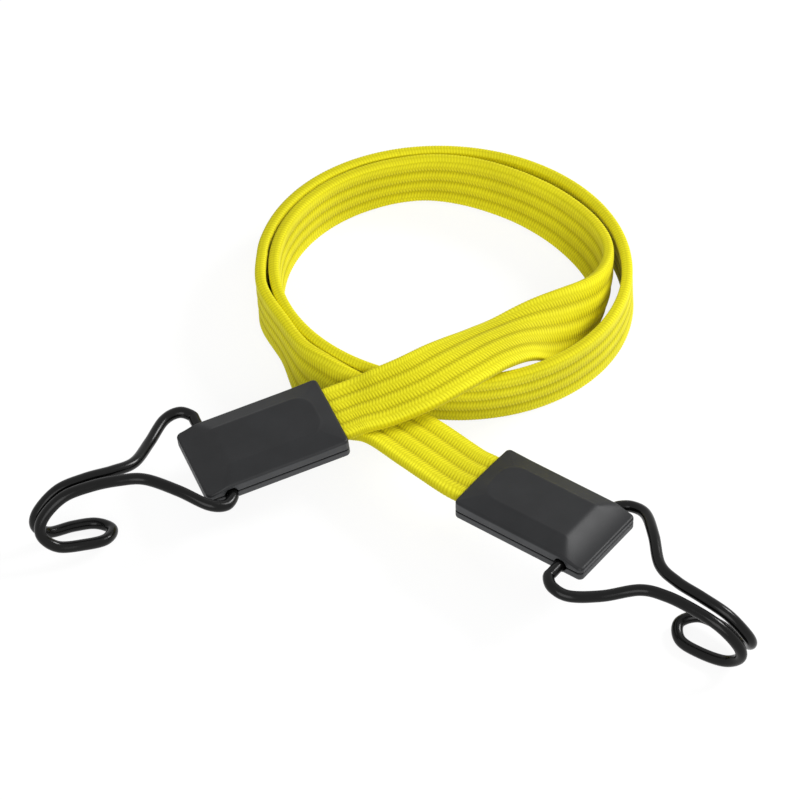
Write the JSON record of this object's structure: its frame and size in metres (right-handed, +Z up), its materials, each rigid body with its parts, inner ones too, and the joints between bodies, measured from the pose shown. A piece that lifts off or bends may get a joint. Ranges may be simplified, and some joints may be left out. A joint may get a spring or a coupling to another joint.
{
  "type": "bungee cord",
  "caption": "Flat braided elastic strap lying in a loose coil, with a plastic end housing and a swinging double-wire hook at each end.",
  "frame": {"origin": "on the floor, under the middle of the bounding box of the two ends (housings and hooks, without the strap)", "axes": "+X from end A towards end B, +Y from the ends towards the coil, +Z up from the floor"},
  "size_m": [0.1824, 0.1687, 0.0231],
  "materials": {
    "strap_cover": "ribbed braid, matt",
    "rubber_strands": "natural, matt",
    "housing_plastic": "satin",
    "clip_steel": "rolled sheet",
    "hook_wire": "gloss black coating"
  },
  "bodies": {
    "strap": {"cover_lead_a": "strap_cover", "cover_coil": "strap_cover", "cover_lead_b": "strap_cover", "rubber_strand_1_lead_a": "rubber_strands", "rubber_strand_1_coil": "rubber_strands", "rubber_strand_1_lead_b": "rubber_strands", "rubber_strand_2_lead_a": "rubber_strands", "rubber_strand_2_coil": "rubber_strands", "rubber_strand_2_lead_b": "rubber_strands", "rubber_strand_3_lead_a": "rubber_strands", "rubber_strand_3_coil": "rubber_strands", "rubber_strand_3_lead_b": "rubber_strands", "rubber_strand_4_lead_a": "rubber_strands", "rubber_strand_4_coil": "rubber_strands", "rubber_strand_4_lead_b": "rubber_strands"},
    "end_a": {"housing_upper_a": "housing_plastic", "housing_lower_a": "housing_plastic", "strap_clip_a": "clip_steel"},
    "end_b": {"housing_upper_b": "housing_plastic", "housing_lower_b": "housing_plastic", "strap_clip_b": "clip_steel"},
    "hook_a": {"wire_hook_a": "hook_wire"},
    "hook_b": {"wire_hook_b": "hook_wire"}
  },
  "joints": [
    {"name": "stretch_a", "type": "slide", "parent": "strap", "child": "end_a", "axis": [-0.9252, -0.3795, 0], "range_m": [0, 0.06], "stiffness_N_per_m": 1700, "deforming": ["cover_lead_a", "rubber_strand_1_lead_a", "rubber_strand_2_lead_a", "rubber_strand_3_lead_a", "rubber_strand_4_lead_a"]},
    {"name": "stretch_b", "type": "slide", "parent": "strap", "child": "end_b", "axis": [0.8059, -0.592, 0], "range_m": [0, 0.04], "stiffness_N_per_m": 2600, "deforming": ["cover_lead_b", "rubber_strand_1_lead_b", "rubber_strand_2_lead_b", "rubber_strand_3_lead_b", "rubber_strand_4_lead_b"]},
    {"name": "hook_a_pivot", "type": "hinge", "parent": "end_a", "child": "hook_a", "pos_m": [-0.04438, 0.01823, 0.0126], "axis": [-0.3754, 0.9258, -0.0452], "range_deg": [-130, 125]},
    {"name": "hook_b_pivot", "type": "hinge", "parent": "end_b", "child": "hook_b", "pos_m": [0.04963, -0.01005, 0.01708], "axis": [-0.5946, -0.8004, 0.0765], "range_deg": [-130, 140]}
  ]
}
